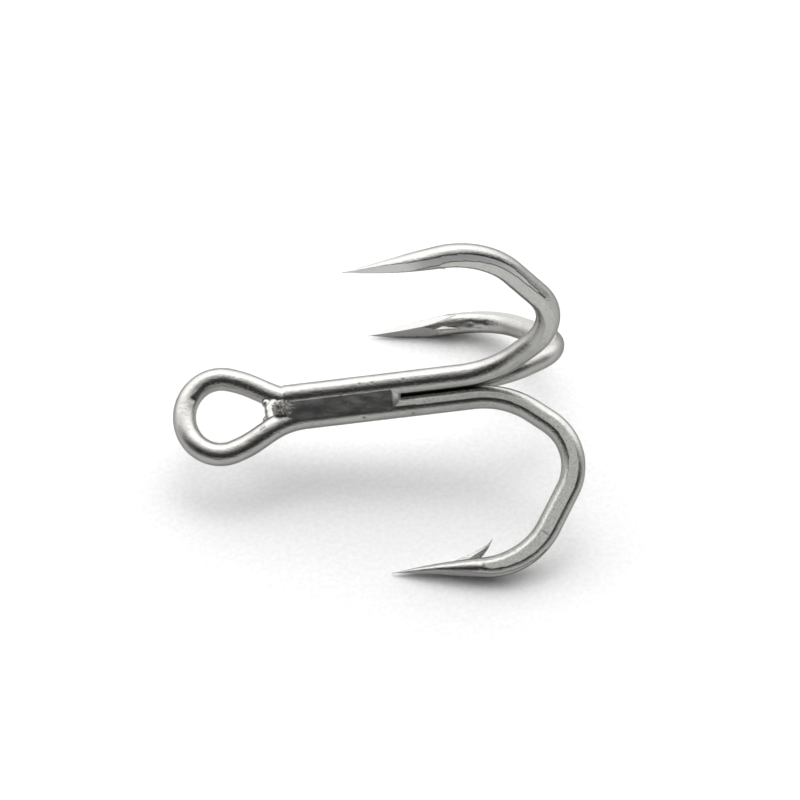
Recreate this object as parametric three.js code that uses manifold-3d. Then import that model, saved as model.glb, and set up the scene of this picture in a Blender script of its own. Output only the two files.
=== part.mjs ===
// Treble hook: a double hook bent from one wire, whose middle is a closed eye,
// and a single hook brazed into the groove between its two shanks.
// Millimetres, +Z up. +X runs from the eye towards the bends. The hook lies on
// the points and bends of its two lower hooks, which touch Z = 0, and the
// origin is under the middle of the whole hook.
import * as THREE from 'three';
import { mergeVertices } from 'three/addons/utils/BufferGeometryUtils.js';
import Module from 'manifold-3d';

const wasm = await Module();
wasm.setup();

// ---- driving dimensions, in millimetres and degrees ----
const WIRE_DIAMETER = 2.3;
const SHANK_GAP = 0.1; // film of braze between neighbouring shanks
const SHANK_LENGTH = 16.7; // straight part, from the eye's throat to the first bend
const BENDS = [
  { radius: 8.8, angle: 40.6, straightAfter: 1.8 },
  { radius: 5.3, angle: 83.4, straightAfter: 4.1 },
  { radius: 7.3, angle: 61.4, straightAfter: 0 },
];
const POINT_LENGTH = 9.0; // from the end of the last bend to the tip
const POINT_FLARE = 4.5; // how far the point turns back outwards over its length
const LOWER_HOOK_SPREAD = 118.7; // each lower hook from the upright plane
const UPPER_HOOK_LEAN = 1.0;
const UPPER_HOOK_SHIFT = -1.04; // the single hook sits nearer to the eye
const UPPER_SHANK_START = -1.85; // where the single hook's wire is cut off

const EYE_CENTRE = -8.38; // along the shank, from the throat
const EYE_HALF_LENGTH = 3.65; // to the middle of the wire
const EYE_HALF_WIDTH = 4.13;
const EYE_ARC_START = 73; // the ellipse runs from here round to the other leg
const EYE_BENT_FROM = -1.9; // the loop leaves the shank's plane from here on
const EYE_TWIST = 14.5; // the loop is twisted about the shank
const EYE_TWIST_LENGTH = 4.5;
const EYE_PITCH = 2.1; // the loop's far end is lifted by this angle

// Forged flats on both sides of the bends: half the angle of wire cut away,
// against the distance from the tip.
const FLAT_STEPS = [
  [8.6, 0], [9.6, 17], [14, 26], [21, 26], [26, 19], [32, 15], [42, 12], [48, 0],
];
const FORGED_WIDENING = 0.04; // the wire spreads this much where it is flattest

// The point tapers over these lengths, by these powers: across the plane of
// the hook it stays wide for longer than in that plane.
const TAPER = {
  inPlane: { length: 13, power: 1.6 },
  across: { length: 9.5, power: 1.85 },
};
const TIP_RADIUS = 0.06;

// Ground facets: planes past the tip, turned about the wire from the outside
// of the bend, each leaning away from the wire's middle by its slope.
const HOOKS = {
  upper: {
    turn: UPPER_HOOK_LEAN,
    shift: UPPER_HOOK_SHIFT,
    start: UPPER_SHANK_START,
    barbHeight: 1.0,
    facets: [
      { turn: -77, slope: 0.094 }, { turn: 77, slope: 0.094 },
    ],
  },
  front: {
    turn: -LOWER_HOOK_SPREAD,
    shift: 0,
    start: 0,
    barbHeight: 1.75,
    facets: [{ turn: 45, slope: 0.09 }, { turn: -45, slope: 0.09 }],
  },
  back: {
    turn: LOWER_HOOK_SPREAD,
    shift: 0,
    start: 0,
    barbHeight: 1.1,
    facets: [{ turn: 160, slope: 0.09 }, { turn: -80, slope: 0.1 }],
  },
};

// Barb: a sliver cut up from the inner side of the point, its tip leaning back
// towards the bend. Distances are from the hook's tip.
const BARB = { front: 5.7, rear: 8.7, tip: 10.0, halfWidth: 0.42, buried: 0.45 };

const BRAZE_GAP = 0.02; // clearance of each braze body to the wires
const SEAM_FLUSH = 0.93; // how far out a seam fills its groove, in wire radii
const SEAM_ROOT = 0.35; // the seam starts this far outside the closest line
const SEAM_START = -1.6;
const SEAM_END = { front: 9.6, rear: 9.0, lower: 9.2 };
const SEAM_RUNOUT = 1.1; // length of the hollow end of a seam
const CORE_END = 10.5;
const CORE_REACH = 19; // how far round each wire the core reaches, either way
const WEB_START = -4.25; // the throat web's hollow edge, at the eye's hole
const WEB_END = -1.95;

const WIRE_SIDES = 20;
const PLATING = { color: 0xc9cacb, roughness: 0.28, metalness: 1 };
const BRAZE = { color: 0xa9aaad, roughness: 0.4, metalness: 1 };

// ---- derived sizes ----
const WIRE_RADIUS = WIRE_DIAMETER / 2;
// The faceted section lies round the true circle, so its sides touch it.
const OUTER_RADIUS = WIRE_RADIUS / Math.cos(Math.PI / WIRE_SIDES);
const SHANK_OFFSET = (WIRE_DIAMETER + SHANK_GAP) / Math.sqrt(3);
const BRAZE_RADIUS = OUTER_RADIUS + BRAZE_GAP;

const radians = THREE.MathUtils.degToRad;
const clamp = THREE.MathUtils.clamp;
const smooth = (t) => THREE.MathUtils.smoothstep(t, 0, 1);
const vector = (x, y, z) => new THREE.Vector3(x, y, z);

function interpolate(steps, at) {
  if (at <= steps[0][0]) return steps[0][1];
  for (let i = 1; i < steps.length; i += 1) {
    const [x0, y0] = steps[i - 1];
    const [x1, y1] = steps[i];
    if (at <= x1) return y0 + ((y1 - y0) * (at - x0)) / (x1 - x0);
  }
  return steps[steps.length - 1][1];
}

// ---- the middle line of one hook, in its own plane ----
// Each station holds the place along the shank, the distance from the shank's
// axis, the heading and the length still to go to the tip.
function hookLine(hook) {
  const line = [];
  let x = hook.start;
  let out = SHANK_OFFSET;
  let heading = 0;
  let travelled = 0;
  const put = () => line.push({ x, out, heading, travelled });
  function advance(length, turn, steps) {
    const half = turn / steps / 2;
    const chord = (length / steps) * (half === 0 ? 1 : Math.sin(half) / half);
    for (let i = 0; i < steps; i += 1) {
      heading += half;
      x += chord * Math.cos(heading);
      out += chord * Math.sin(heading);
      heading += half;
      travelled += length / steps;
      put();
    }
  }
  put();
  advance(SHANK_LENGTH + hook.shift - hook.start, 0, 6);
  for (const bend of BENDS) {
    const turn = radians(bend.angle);
    advance(bend.radius * turn, turn, Math.ceil(bend.angle / 8));
    if (bend.straightAfter > 0) advance(bend.straightAfter, 0, 2);
  }
  advance(POINT_LENGTH, -radians(POINT_FLARE), 13);
  return line.map((s) => ({ ...s, toTip: travelled - s.travelled }));
}

// Radius of the wire in direction phi, which is 0 on the outside of the bend,
// at a distance from the tip.
function wireRadius(hook, toTip, phi) {
  const share = ({ length, power }) =>
    1 - (1 - clamp(toTip / length, 0, 1)) ** power;
  const flat = radians(interpolate(FLAT_STEPS, toTip));
  const widening = 1 + (FORGED_WIDENING * (1 - Math.cos(flat))) / (1 - Math.cos(radians(26)));
  const inPlane = Math.max(OUTER_RADIUS * share(TAPER.inPlane) * widening, TIP_RADIUS);
  const across = Math.max(OUTER_RADIUS * share(TAPER.across), TIP_RADIUS);
  let radius = 1 / Math.hypot(Math.cos(phi) / inPlane, Math.sin(phi) / across);
  const side = Math.abs(Math.sin(phi));
  if (side > 0) radius = Math.min(radius, (OUTER_RADIUS * Math.cos(flat)) / side);
  for (const facet of hook.facets) {
    const facing = Math.cos(phi - radians(facet.turn));
    const distance = TIP_RADIUS + toTip * facet.slope;
    if (facing > 0) radius = Math.min(radius, distance / facing);
  }
  return radius;
}

// Directions of one hook's plane: out from the shank's axis, and its two
// section directions at a heading.
function hookAxes(hook, heading) {
  const turn = radians(hook.turn);
  const out = vector(0, Math.sin(turn), Math.cos(turn));
  const along = vector(1, 0, 0);
  const outer = along.clone().multiplyScalar(Math.sin(heading));
  outer.addScaledVector(out, -Math.cos(heading));
  const tangent = along.clone().multiplyScalar(Math.cos(heading));
  tangent.addScaledVector(out, Math.sin(heading));
  return { out, outer, side: tangent.clone().cross(outer), tangent };
}

function hookPoint(hook, station) {
  const { out } = hookAxes(hook, 0);
  return vector(station.x, 0, 0).addScaledVector(out, station.out);
}

// Rings of one hook. mirrored turns the rings the other way round, for a hook
// that is followed from its tip to its shank.
function hookRings(hook, mirrored) {
  return hookLine(hook).map((station) => {
    const { outer, side } = hookAxes(hook, station.heading);
    const centre = hookPoint(hook, station);
    const ring = [];
    for (let i = 0; i < WIRE_SIDES; i += 1) {
      const phi = ((mirrored ? -1 : 1) * i * 2 * Math.PI) / WIRE_SIDES;
      const radius = wireRadius(hook, station.toTip, phi);
      ring.push(
        centre.clone()
          .addScaledVector(outer, radius * Math.cos(phi))
          .addScaledVector(side, radius * Math.sin(phi)),
      );
    }
    return ring;
  });
}

// ---- the eye's middle line, from the front shank round to the back shank ----
function eyeLine() {
  const start = radians(EYE_ARC_START);
  const { out } = hookAxes(HOOKS.back, 0);
  const legEnd = new THREE.Vector2(0, out.y * SHANK_OFFSET);
  const height = out.z * SHANK_OFFSET;
  const onArc = (t) =>
    new THREE.Vector2(
      EYE_CENTRE + EYE_HALF_LENGTH * Math.cos(t),
      EYE_HALF_WIDTH * Math.sin(t),
    );
  const arcEnd = onArc(start);
  const leave = new THREE.Vector2(
    EYE_HALF_LENGTH * Math.sin(start),
    -EYE_HALF_WIDTH * Math.cos(start),
  ).normalize();
  const reach = arcEnd.distanceTo(legEnd);
  const leg = new THREE.CubicBezierCurve(
    legEnd,
    new THREE.Vector2(legEnd.x - 0.35 * reach, legEnd.y),
    arcEnd.clone().addScaledVector(leave, 0.45 * reach),
    arcEnd,
  );
  const legPoints = leg.getSpacedPoints(9).slice(1);
  const arcSteps = 22;
  const flat = legPoints.map((p) => new THREE.Vector2(p.x, -p.y));
  for (let i = 1; i < arcSteps; i += 1) {
    const t = 2 * Math.PI - start - (i / arcSteps) * (2 * Math.PI - 2 * start);
    flat.push(onArc(t));
  }
  flat.push(...legPoints.reverse());
  return flat.map(({ x, y }) => {
    const past = Math.max(EYE_BENT_FROM - x, 0);
    const twist = radians(EYE_TWIST) * smooth(clamp(past / EYE_TWIST_LENGTH, 0, 1));
    const lift = past * Math.sin(radians(EYE_PITCH));
    return vector(x, y * Math.cos(twist), height + y * Math.sin(twist) + lift);
  });
}

// Round rings along a free line, turned evenly so that the first and last fit
// the rings they join.
function linkRings(points, before, after, firstAxis, lastAxis) {
  const all = [before, ...points, after];
  const tangents = points.map((p, i) =>
    all[i + 2].clone().sub(all[i]).normalize());
  const axes = [];
  let axis = firstAxis.clone();
  for (const tangent of tangents) {
    axis = axis.clone().addScaledVector(tangent, -axis.dot(tangent)).normalize();
    axes.push(axis);
  }
  const end = tangents[tangents.length - 1];
  const turnLeft = Math.atan2(
    axis.clone().cross(lastAxis).dot(end),
    axis.dot(lastAxis),
  );
  return points.map((centre, n) => {
    const tangent = tangents[n];
    const twist = (turnLeft * (n + 1)) / points.length;
    const first = axes[n].clone().applyAxisAngle(tangent, twist);
    const second = tangent.clone().cross(first);
    const ring = [];
    for (let i = 0; i < WIRE_SIDES; i += 1) {
      const phi = (i * 2 * Math.PI) / WIRE_SIDES;
      ring.push(
        centre.clone()
          .addScaledVector(first, OUTER_RADIUS * Math.cos(phi))
          .addScaledVector(second, OUTER_RADIUS * Math.sin(phi)),
      );
    }
    return ring;
  });
}

// ---- mesh helpers ----
// Closes rings of equal length into a solid whose ends are fans. The rings turn
// anticlockwise when seen from the end they lead to.
function loft(rings) {
  const sides = rings[0].length;
  const positions = rings.flat().flatMap((p) => [p.x, p.y, p.z]);
  const faces = [];
  for (let r = 0; r + 1 < rings.length; r += 1) {
    for (let i = 0; i < sides; i += 1) {
      const j = (i + 1) % sides;
      const a = r * sides + i;
      const b = r * sides + j;
      faces.push(a, b, b + sides, a, b + sides, a + sides);
    }
  }
  for (const [ring, ahead] of [[0, false], [rings.length - 1, true]]) {
    const middle = new THREE.Vector3();
    rings[ring].forEach((p) => middle.addScaledVector(p, 1 / sides));
    const hub = positions.length / 3;
    positions.push(middle.x, middle.y, middle.z);
    for (let i = 0; i < sides; i += 1) {
      const a = ring * sides + i;
      const b = ring * sides + ((i + 1) % sides);
      faces.push(...(ahead ? [a, b, hub] : [b, a, hub]));
    }
  }
  const geometry = new THREE.BufferGeometry();
  geometry.setAttribute('position', new THREE.Float32BufferAttribute(positions, 3));
  geometry.setIndex(faces);
  return geometry;
}

function toSolid(geometry) {
  const bare = geometry.clone();
  bare.deleteAttribute('normal');
  bare.deleteAttribute('uv');
  const merged = mergeVertices(bare, 1e-5);
  return new wasm.Manifold(new wasm.Mesh({
    numProp: 3,
    vertProperties: new Float32Array(merged.attributes.position.array),
    triVerts: new Uint32Array(merged.index.array),
  }));
}

function toGeometry(solid) {
  const mesh = solid.getMesh();
  const geometry = new THREE.BufferGeometry();
  const positions = [];
  for (let i = 0; i < mesh.vertProperties.length; i += mesh.numProp) {
    positions.push(...mesh.vertProperties.slice(i, i + 3));
  }
  geometry.setAttribute('position', new THREE.Float32BufferAttribute(positions, 3));
  geometry.setIndex(Array.from(mesh.triVerts));
  return geometry;
}

function named(name, geometry, finish) {
  geometry.computeVertexNormals();
  const mesh = new THREE.Mesh(geometry, new THREE.MeshStandardMaterial(finish));
  mesh.name = name;
  return mesh;
}

// ---- barb ----
function barb(hook) {
  const line = hookLine(hook);
  function at(toTip, inwards, sideways) {
    const next = line.findIndex((s) => s.toTip <= toTip);
    const [a, b] = [line[next - 1], line[next]];
    const t = (a.toTip - toTip) / (a.toTip - b.toTip);
    const centre = hookPoint(hook, a).lerp(hookPoint(hook, b), t);
    const { outer, side } = hookAxes(hook, a.heading + t * (b.heading - a.heading));
    return centre.addScaledVector(outer, -inwards).addScaledVector(side, sideways);
  }
  const skin = (toTip) => wireRadius(hook, toTip, Math.PI);
  const root = skin(BARB.rear) - BARB.buried;
  const corners = [
    at(BARB.front, skin(BARB.front) - 0.1, 0),
    at(BARB.rear, root, BARB.halfWidth),
    at(BARB.rear, root, -BARB.halfWidth),
    at(BARB.tip, skin(BARB.tip) + hook.barbHeight, 0),
  ];
  const geometry = new THREE.BufferGeometry();
  geometry.setAttribute(
    'position',
    new THREE.Float32BufferAttribute(corners.flatMap((p) => [p.x, p.y, p.z]), 3),
  );
  geometry.setIndex([0, 2, 1, 0, 1, 3, 1, 2, 3, 2, 0, 3]);
  return geometry;
}

// ---- wires ----
function doubleHookWire() {
  const { front, back } = HOOKS;
  const frontRings = hookRings(front, true).reverse();
  const backRings = hookRings(back, false);
  const eye = linkRings(
    eyeLine(),
    hookPoint(front, hookLine(front)[0]),
    hookPoint(back, hookLine(back)[0]),
    hookAxes(front, 0).outer,
    hookAxes(back, 0).outer,
  );
  return toSolid(loft([...frontRings, ...eye, ...backRings]))
    .add(toSolid(barb(front)))
    .add(toSolid(barb(back)));
}

function singleHookWire() {
  const { upper } = HOOKS;
  return toSolid(loft(hookRings(upper, false))).add(toSolid(barb(upper)));
}

// ---- braze ----
// A seam fills the groove between two shanks. Its two sides follow the wires,
// and its skin is flat across the groove until it hollows out at the end.
function brazeSeam(hookA, hookB, end) {
  const centreA = hookAxes(hookA, 0).out.multiplyScalar(SHANK_OFFSET);
  const centreB = hookAxes(hookB, 0).out.multiplyScalar(SHANK_OFFSET);
  const middle = centreA.clone().add(centreB).multiplyScalar(0.5);
  const half = centreA.distanceTo(centreB) / 2;
  const across = centreB.clone().sub(centreA).normalize();
  const out = middle.clone().normalize();
  const turnsBack = across.clone().cross(out).x < 0;
  const steps = 8;
  const rings = [];
  for (const x of [SEAM_START, (SEAM_START + end) / 2, ...runout(end)]) {
    const left = clamp((end - x) / SEAM_RUNOUT, 0, 1);
    const depth = SEAM_ROOT + 0.12
      + (WIRE_RADIUS * SEAM_FLUSH - SEAM_ROOT - 0.12) * Math.sqrt(left);
    const ring = [];
    for (const sign of [1, -1]) {
      for (let i = 0; i <= steps; i += 1) {
        const t = sign > 0 ? i / steps : 1 - i / steps;
        const v = SEAM_ROOT + (depth - SEAM_ROOT) * t;
        const u = half - Math.sqrt(BRAZE_RADIUS ** 2 - v ** 2);
        ring.push(
          middle.clone().setX(x).addScaledVector(out, v).addScaledVector(across, sign * u),
        );
      }
    }
    rings.push(turnsBack ? ring.reverse() : ring);
  }
  return loft(rings);
}

function runout(end) {
  const shares = [1, 0.7, 0.45, 0.25, 0.1, 0];
  return shares.map((share) => end - share * SEAM_RUNOUT);
}

// The core fills the three-cornered space between the shanks.
function brazeCore() {
  const widest = radians(CORE_REACH);
  const steps = 8;
  const outline = new THREE.Shape();
  const points = [];
  for (const hook of [HOOKS.upper, HOOKS.back, HOOKS.front]) {
    const { out } = hookAxes(hook, 0);
    const across = new THREE.Vector2(out.z, -out.y);
    const away = new THREE.Vector2(out.y, out.z);
    for (let i = 0; i <= steps; i += 1) {
      const angle = -widest + (2 * widest * i) / steps;
      points.push(
        away.clone()
          .multiplyScalar(SHANK_OFFSET - BRAZE_RADIUS * Math.cos(angle))
          .addScaledVector(across, BRAZE_RADIUS * Math.sin(angle)),
      );
    }
  }
  outline.setFromPoints(points);
  const length = CORE_END - SEAM_START;
  const geometry = new THREE.ExtrudeGeometry(outline, { depth: length, bevelEnabled: false });
  // The shape's X and Y become the shank's Y and Z, and it is extruded along X.
  const place = new THREE.Matrix4().makeBasis(vector(0, 1, 0), vector(0, 0, 1), vector(1, 0, 0));
  geometry.applyMatrix4(place);
  geometry.translate(SEAM_START, 0, 0);
  return geometry;
}

// The web closes the throat between the eye's two legs, and swells up against
// the cut end of the single hook's wire.
function throatWeb() {
  const line = eyeLine();
  const legAt = (x, leg) => {
    const side = leg.findIndex((p, i) => i > 0 && (leg[i - 1].x - x) * (p.x - x) <= 0);
    const [a, b] = [leg[side - 1], leg[side]];
    const slope = Math.hypot(b.y - a.y, b.z - a.z) / Math.abs(b.x - a.x);
    return { point: a.clone().lerp(b, (x - a.x) / (b.x - a.x)), slope };
  };
  const half = Math.floor(line.length / 2);
  const shank = (hook) => hookPoint(hook, hookLine(hook)[0]);
  const frontLeg = [shank(HOOKS.front), ...line.slice(0, half)];
  const backLeg = [...line.slice(half)];
  const stations = 9;
  const steps = 6;
  const rings = [];
  for (let n = 0; n < stations; n += 1) {
    const share = n / (stations - 1);
    const x = WEB_START + (WEB_END - WEB_START) * share;
    const front = legAt(x, frontLeg);
    const back = legAt(x, backLeg);
    const middle = front.point.clone().add(back.point).multiplyScalar(0.5);
    const across = back.point.clone().sub(front.point).normalize();
    const up = vector(1, 0, 0).cross(across).normalize();
    const gap = front.point.distanceTo(back.point) / 2;
    const wide = BRAZE_RADIUS * Math.hypot(1, Math.max(front.slope, back.slope)) + BRAZE_GAP;
    const under = -WIRE_RADIUS * (0.35 + 0.5 * smooth(share));
    const over = WIRE_RADIUS * (0.35 + 0.6 * smooth(share));
    const ring = [];
    for (const sign of [1, -1]) {
      for (let i = 0; i <= steps; i += 1) {
        const t = sign > 0 ? i / steps : 1 - i / steps;
        const v = under + (over - under) * t;
        const u = Math.max(gap - wide * Math.sqrt(1 - (v / BRAZE_RADIUS) ** 2), 0.02);
        ring.push(middle.clone().addScaledVector(up, v).addScaledVector(across, sign * u));
      }
    }
    rings.push(ring);
  }
  return loft(rings);
}

// ---- assembly, then laid down on the lower hooks ----
const parts = [
  named('double_hook_wire', toGeometry(doubleHookWire()), PLATING),
  named('single_hook_wire', toGeometry(singleHookWire()), PLATING),
  named('front_braze_seam', brazeSeam(HOOKS.upper, HOOKS.front, SEAM_END.front), BRAZE),
  named('rear_braze_seam', brazeSeam(HOOKS.back, HOOKS.upper, SEAM_END.rear), BRAZE),
  named('lower_braze_seam', brazeSeam(HOOKS.front, HOOKS.back, SEAM_END.lower), BRAZE),
  named('braze_core', brazeCore(), BRAZE),
  named('throat_braze', throatWeb(), BRAZE),
];

// Lowest height of a geometry's vertices on one side of a place along the
// shank, when the hook is tilted about +Y by an angle.
function lowest(geometry, tilt, keep) {
  const { array } = geometry.attributes.position;
  let low = Infinity;
  for (let i = 0; i < array.length; i += 3) {
    if (keep(array[i])) {
      const z = array[i] * Math.sin(tilt) + array[i + 2] * Math.cos(tilt);
      low = Math.min(low, z);
    }
  }
  return low;
}

// The tilt at which the points and the bends of the lower hooks are level.
function restingTilt(geometry) {
  const pointZone = (x) => x < SHANK_LENGTH - POINT_LENGTH;
  const bendZone = (x) => x > SHANK_LENGTH;
  let [less, more] = [0, radians(25)];
  for (let i = 0; i < 40; i += 1) {
    const tilt = (less + more) / 2;
    const pointsLower = lowest(geometry, tilt, pointZone) < lowest(geometry, tilt, bendZone);
    if (pointsLower) more = tilt;
    else less = tilt;
  }
  return (less + more) / 2;
}

const hook = new THREE.Group();
hook.add(...parts);
hook.rotation.y = -restingTilt(parts[0].geometry);

const group = new THREE.Group();
group.add(hook);
group.updateMatrixWorld(true);
const bounds = new THREE.Box3().setFromObject(group, true);
const centre = bounds.getCenter(vector(0, 0, 0));
hook.position.set(-centre.x, -centre.y, -bounds.min.z);

export default group;
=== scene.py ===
"""Treble hook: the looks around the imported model.

Shapes are worked out in the hook's own frame, in millimetres: +X along the
shank from the eye's throat to the bends, the single hook upwards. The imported
model then says where that frame lies in the row.
"""

import math

import bpy
import bmesh
import numpy as np
from mathutils import Matrix, Vector, noise


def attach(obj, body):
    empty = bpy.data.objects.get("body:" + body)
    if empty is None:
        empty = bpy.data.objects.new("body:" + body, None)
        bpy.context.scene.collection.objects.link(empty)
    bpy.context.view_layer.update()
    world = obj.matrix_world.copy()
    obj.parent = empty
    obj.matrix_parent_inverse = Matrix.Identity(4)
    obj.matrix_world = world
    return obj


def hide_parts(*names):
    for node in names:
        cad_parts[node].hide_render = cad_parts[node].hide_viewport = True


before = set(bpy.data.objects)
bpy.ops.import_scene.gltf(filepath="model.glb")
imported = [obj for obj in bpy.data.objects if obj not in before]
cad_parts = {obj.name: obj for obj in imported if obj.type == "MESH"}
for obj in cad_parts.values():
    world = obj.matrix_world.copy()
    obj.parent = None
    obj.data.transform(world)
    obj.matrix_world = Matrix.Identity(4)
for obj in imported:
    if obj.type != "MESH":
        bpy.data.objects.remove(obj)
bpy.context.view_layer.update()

MM = 0.001

# ---- camera and stage ----
CAMERA_AZIMUTH = -7.875
CAMERA_ELEVATION = 49.587
CAMERA_ROLL = 4.009
CAMERA_DISTANCE = 210.7
CAMERA_AIM = (2.297, -1.164, 9.286)
CAMERA_FIELD = 21.22
CAMERA_NEAR = 0.01

# Metal, as linear colours. The edge tint keeps grazing reflections grey.
WIRE_DULL = (0.345, 0.34, 0.325)
WIRE_BRIGHT = (0.415, 0.41, 0.395)
FORGED_DULL = (0.50, 0.51, 0.48)
FORGED_BRIGHT = (0.74, 0.75, 0.71)
# Ground facets run from painted shade to painted light, by a level set per facet.
GROUND_SHADED = (0.24, 0.235, 0.225)
GROUND_LIT = (0.72, 0.715, 0.71)
# Painted shade, drawn as a thin line along the edges of ground facets.
FACET_EDGE_SHADE = (0.10, 0.10, 0.10)
# Painted shade in pits and specks.
PIT_SHADE = (0.16, 0.16, 0.155)
# Painted highlight on the hollow end of each braze seam.
RIM_HIGHLIGHT = (0.92, 0.90, 0.87)
FLOWED_DULL = (0.27, 0.27, 0.265)
FLOWED_BRIGHT = (0.42, 0.415, 0.405)
GRITTY_DULL = (0.1, 0.1, 0.095)
GRITTY_BRIGHT = (0.5, 0.49, 0.47)
EDGE_TINT = (0.42, 0.42, 0.41, 1.0)

# How rough each kind of skin is.
WIRE_ROUGHNESS = (0.15, 0.22)
FORGED_ROUGHNESS = 0.5
GROUND_ROUGHNESS = 0.55
PIT_ROUGHNESS = 0.6
RIM_ROUGHNESS = 0.5
FLOWED_ROUGHNESS = (0.2, 0.28)
GRITTY_ROUGHNESS = (0.1, 0.3)
FLOOR_ROUGHNESS = 0.8

# Grain sizes and bump heights in millimetres, and bump strengths.
WIRE_DRIFT = 2.2
WIRE_GRAIN = 0.26
FORGED_SPARKLE = 0.13
BRAZE_DRIFT = 1.6
BRAZE_GRAIN = 0.25
FLOOR_GRAIN = 0.5
WIRE_BUMP_HEIGHT = 0.05
FLOWED_BUMP_HEIGHT = 0.004
GRITTY_BUMP_HEIGHT = 0.06
WIRE_BUMP = 0.9
FORGED_BUMP = 0.6
BRAZE_BUMP = 0.7

# The studio's light: levels against the sine of the elevation, for the bright
# wall behind the hook and for the dim room on the camera's side. The room turns
# into the wall between two values of how far a direction points backwards.
WALL_LEVELS = ((0.0, 0.42), (0.1, 0.6), (0.25, 0.84), (0.45, 0.96),
               (0.87, 0.96), (0.94, 0.74), (1.0, 0.5))
ROOM_LEVELS = ((0.0, 0.2), (0.08, 0.1), (0.17, 0.04), (0.34, 0.02),
               (0.77, 0.025), (0.87, 0.07), (0.94, 0.18), (1.0, 0.5))
ROOM_TO_WALL = (-0.15, 0.45)
STUDIO_STRENGTH = 2.75

# Floor and softbox, in metres.
FLOOR_HALF_SIZE = 1.2
FLOOR_DULL = (0.80, 0.80, 0.80)
FLOOR_BRIGHT = (0.88, 0.88, 0.88)
SOFTBOX_PLACE = (0.0, 0.35, 0.6)
SOFTBOX_SIZE = (0.3, 0.2)
SOFTBOX_POWER = 0.5

# ---- wire, in millimetres and degrees ----
WIRE_RADIUS = 1.15
SHANK_GAP = 0.1
SHANK_LENGTH = 16.7
BENDS = ((8.8, 40.6, 1.8), (5.3, 83.4, 4.1), (7.3, 61.4, 0.0))
POINT_LENGTH = 9.0
POINT_FLARE = 4.5
EYE_CENTRE = -8.38
EYE_HALF_LENGTH = 3.65
EYE_HALF_WIDTH = 4.13
EYE_ARC_START = 73.0
EYE_BENT_FROM = -1.9
EYE_TWIST = 14.5
EYE_TWIST_LENGTH = 4.5
EYE_PITCH = 2.1
EYE_SHANK_HANDLE = 0.35
EYE_ARC_HANDLE = 0.45
EYE_LEG_STEPS = 40
EYE_ARC_STEPS = 100

# Half the angle of wire cut away by the forged flats, against distance to tip.
FLAT_AT = (8.6, 9.6, 14.0, 21.0, 26.0, 32.0, 42.0, 48.0)
FLAT_ANGLE = (0.0, 17.0, 26.0, 26.0, 19.0, 15.0, 12.0, 0.0)
FLAT_WIDEST = 26.0
FORGED_WIDENING = 0.04
TAPER_IN_PLANE = (13.0, 1.6)
TAPER_ACROSS = (9.5, 1.85)
TIP_RADIUS = 0.05
THINNEST_RADIUS = TIP_RADIUS * 0.5
# Facets nearer the tip than this get no painted edge shade.
FACET_EDGE_FROM = 1.5


def far_side(leaf):
    """The same facet on the other side of the wire."""
    return tuple((at, -turn, half) for at, turn, half in leaf)


# Ground facets, as rows of distance from the tip, turn about the wire and half
# the angle cut away. 0 is the outside of the bend.
UPPER_LEAF = ((0, -77, 60), (2.5, -77, 55), (4.5, -77, 52), (6.0, -74, 40), (7.0, -65, 27),
              (8.0, -60, 21), (12.0, -59, 20), (16.0, -56, 13), (21.0, -54, 0))
UPPER_FAR_LEAF = far_side(UPPER_LEAF)
FRONT_LEAF = ((0, 30, 48), (2.5, 28, 44), (4.5, 27, 42), (6.0, 26, 34), (7.2, 26, 22),
              (9.0, 26, 16), (11.5, 27, 14), (13.0, 28, 9), (15.0, 28, 0))
FRONT_FAR_LEAF = far_side(FRONT_LEAF)
BACK_LEAF = ((0, 160, 58), (2.5, 160, 55), (4.5, 160, 54), (6.0, 160, 48), (6.6, 160, 36),
             (7.5, 160, 0))
BACK_TOP = ((0, -118, 60), (2.5, -118, 56), (4.5, -118, 50), (6.5, -116, 38), (8.0, -114, 24),
            (9.5, -112, 0))

# Marks in the wire: distance from the tip, turn, length along the wire, spread
# about it in degrees, and depth. A negative depth stands proud. On the eye the
# distance starts at the front shank.
UPPER_MARKS = ((46.6, -158, 0.13, 7, 0.035), (45.4, -156, 0.16, 6, 0.03), (42.3, -154, 0.12, 8, 0.035),
               (51.0, -140, 0.5, 4, 0.02))
FRONT_MARKS = ((8.6, 88, 0.22, 13, -0.045), (8.95, 95, 0.09, 15, 0.035), (16.0, 90, 0.06, 24, 0.03),
               (48.4, 141, 0.3, 9, 0.03), (47.6, 139, 0.18, 7, 0.035), (42.8, 150, 0.12, 8, 0.03))
EYE_MARKS = ((17.0, 338, 0.35, 16, 0.07), (18.3, 319, 0.5, 6, 0.03), (4.3, 296, 0.16, 7, 0.03),
             (4.0, 296, 0.12, 7, 0.035), (24.3, 338, 0.1, 8, 0.03), (13.0, 300, 0.3, 6, 0.02))
BACK_MARKS = ((7.7, 160, 0.3, 12, 0.07), (7.0, 192, 0.3, 22, -0.05), (11.1, 190, 0.5, 15, 0.13),
              (12.4, 172, 0.6, 9, 0.09), (13.6, 198, 0.6, 8, 0.06), (28.0, -150, 0.25, 18, 0.04))

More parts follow.
